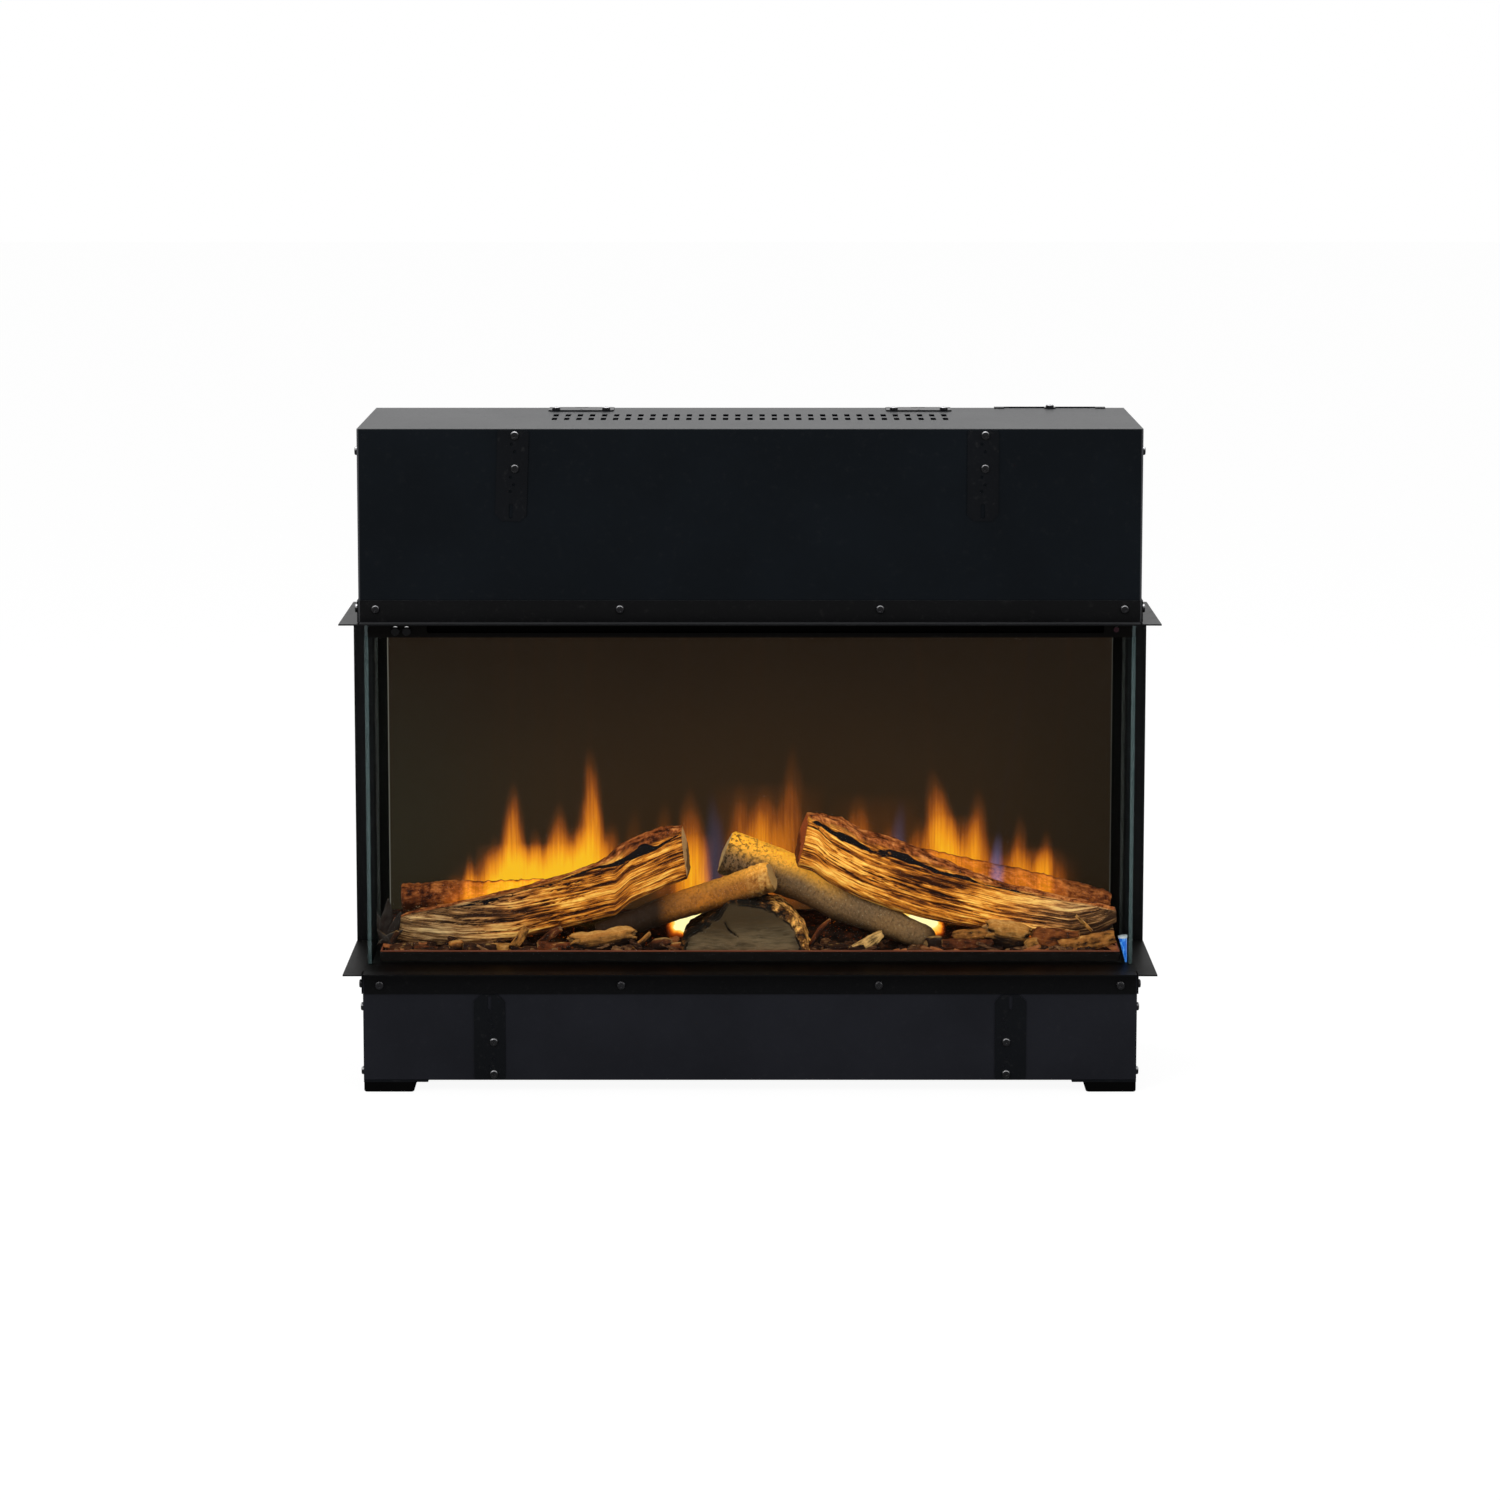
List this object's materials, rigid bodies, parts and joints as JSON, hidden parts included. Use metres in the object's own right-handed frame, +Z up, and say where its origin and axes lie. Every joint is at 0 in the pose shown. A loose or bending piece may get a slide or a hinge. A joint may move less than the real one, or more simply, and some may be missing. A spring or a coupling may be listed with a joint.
{
  "type": "built-in electric fireplace",
  "caption": "Black built-in electric fire with glass on three sides, a log bed before a flame screen, a fan heater above and fixing trims all round.",
  "frame": {"origin": "on the floor, under the middle of the overall width and depth", "axes": "+X to the viewer's right along the width, -Y towards the viewer through the front glass, +Z up"},
  "size_m": [0.87, 0.319, 0.7185],
  "materials": {
    "casing_paint": "black powder coat, fine satin texture",
    "lower_casing_paint": "black-grey powder coat, fine satin texture",
    "trim_paint": "black powder coat, slightly speckled",
    "bracket_paint": "black powder coat",
    "screw_black": "black plated steel",
    "clear_glass": "clear float glass with a green edge",
    "screen_smoke": "dark smoked acrylic, half gloss",
    "foot_rubber": "black moulded rubber",
    "button_black": "black gloss",
    "receiver_lens": "dark infrared lens",
    "gland_black": "black nylon",
    "bare_steel": "zinc coated sheet",
    "spindle_metal": "bright reflective paddles",
    "bush_bronze": "sintered bronze",
    "motor_steel": "plated can",
    "lamp_board": "white board with lamps",
    "fan_grey": "rolled blades",
    "element_fins": "finned element",
    "board_green": "circuit board",
    "tray_black": "black heat resistant paint",
    "ember_resin": "moulded ember bed, lit from below",
    "cut_log": "hand painted moulded log, sawn face and bark",
    "split_log": "hand painted moulded log, split grain and bark",
    "birch_log": "hand painted moulded log, smooth bark",
    "back_log": "hand painted moulded log, red-brown bark",
    "bark": "bark chips and charcoal",
    "peg_blue": "blue moulded peg with a pale collar"
  },
  "bodies": {
    "casing": {"upper_case": "casing_paint", "upper_left_side": "casing_paint", "upper_right_side": "casing_paint", "upper_ceiling": "casing_paint", "left_post": "casing_paint", "right_post": "casing_paint", "rear_panel": "casing_paint", "sill_plate": "casing_paint", "control_fascia": "casing_paint", "lower_case": "lower_casing_paint", "lower_left_side": "lower_casing_paint", "lower_right_side": "lower_casing_paint", "upper_front_trim": "trim_paint", "lower_front_trim": "trim_paint", "upper_left_trim": "trim_paint", "upper_right_trim": "trim_paint", "lower_left_trim": "trim_paint", "lower_right_trim": "trim_paint", "rear_trims": "trim_paint", "upper_brackets": "bracket_paint", "lower_brackets": "bracket_paint", "top_brackets": "bracket_paint", "foot_plates": "bracket_paint", "cable_cover": "bracket_paint", "trim_screws": "screw_black", "bracket_screws": "screw_black", "panel_screws": "screw_black", "front_glass": "clear_glass", "left_glass": "clear_glass", "right_glass": "clear_glass", "flame_screen": "screen_smoke", "rubber_feet": "foot_rubber", "remote_receiver": "receiver_lens", "cable_gland": "gland_black", "flame_stencil": "bare_steel", "spindle_cradle": "bare_steel", "heater_housing": "bare_steel", "spindle_bush": "bush_bronze", "spindle_motor": "motor_steel", "blower_motor": "motor_steel", "flame_lamp_strip": "lamp_board", "bed_lamp_strip": "lamp_board", "heating_element": "element_fins", "control_board": "board_green", "switch_board": "board_green", "fuel_tray": "tray_black", "ember_bed": "ember_resin", "half_round_log": "cut_log", "left_split_log": "split_log", "right_split_log": "split_log", "left_birch_log": "birch_log", "right_birch_log": "birch_log", "left_back_log": "back_log", "right_back_log": "back_log", "bark_chips": "bark", "locating_peg": "peg_blue"},
    "standby_button": {"standby_button": "button_black"},
    "heat_button": {"heat_button": "button_black"},
    "flame_spindle": {"flame_spindle": "spindle_metal"},
    "blower_wheel": {"blower_wheel": "fan_grey"}
  },
  "joints": [
    {"name": "standby_press", "type": "slide", "parent": "casing", "child": "standby_button", "axis": [0, 1, 0], "range_m": [0, 0.0015], "stiffness_N_per_m": 600},
    {"name": "heat_press", "type": "slide", "parent": "casing", "child": "heat_button", "axis": [0, 1, 0], "range_m": [0, 0.0015], "stiffness_N_per_m": 600},
    {"name": "flame_spindle_spin", "type": "hinge", "parent": "casing", "child": "flame_spindle", "pos_m": [0, 0.1195, 0.18], "axis": [1, 0, 0], "continuous": true},
    {"name": "blower_spin", "type": "hinge", "parent": "casing", "child": "blower_wheel", "pos_m": [0, -0.0725, 0.5952], "axis": [1, 0, 0], "continuous": true}
  ]
}
